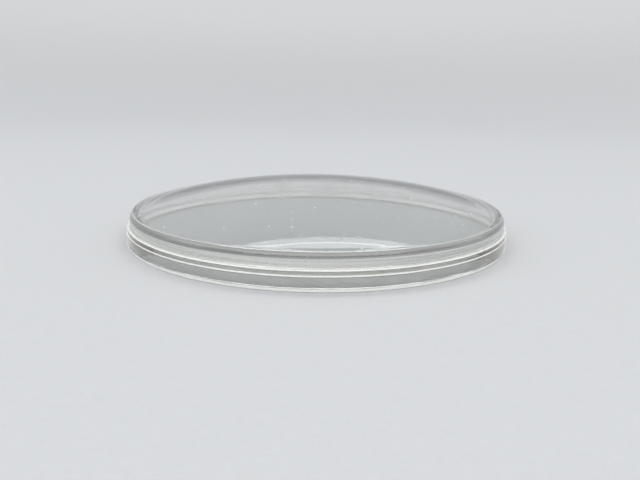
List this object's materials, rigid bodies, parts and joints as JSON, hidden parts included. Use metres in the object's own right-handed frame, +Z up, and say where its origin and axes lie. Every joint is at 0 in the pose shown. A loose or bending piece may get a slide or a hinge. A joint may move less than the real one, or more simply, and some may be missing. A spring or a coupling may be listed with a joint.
{
  "type": "watch crystal",
  "caption": "Clear domed watch crystal seated in its plastic ring gasket, ready to be pressed into the bezel bore of a watch case as the window over its dial",
  "frame": {"origin": "centre of the underside of the gasket ring, on the surface that the crystal rests on", "axes": "+Z up along the crystal's axis, from the underside to the top of the dome; +X and +Y are any two directions across it, since it is round"},
  "size_m": [0.032, 0.032, 0.0044],
  "materials": {
    "clear_glass": "polished clear mineral glass, colourless with a faint grey-green cast, its upright edge fine ground",
    "milky_clear_plastic": "clear, faintly milky moulded plastic, glossy"
  },
  "bodies": {
    "root": {"domed_crystal": "clear_glass", "gasket_ring": "milky_clear_plastic"}
  },
  "joints": []
}
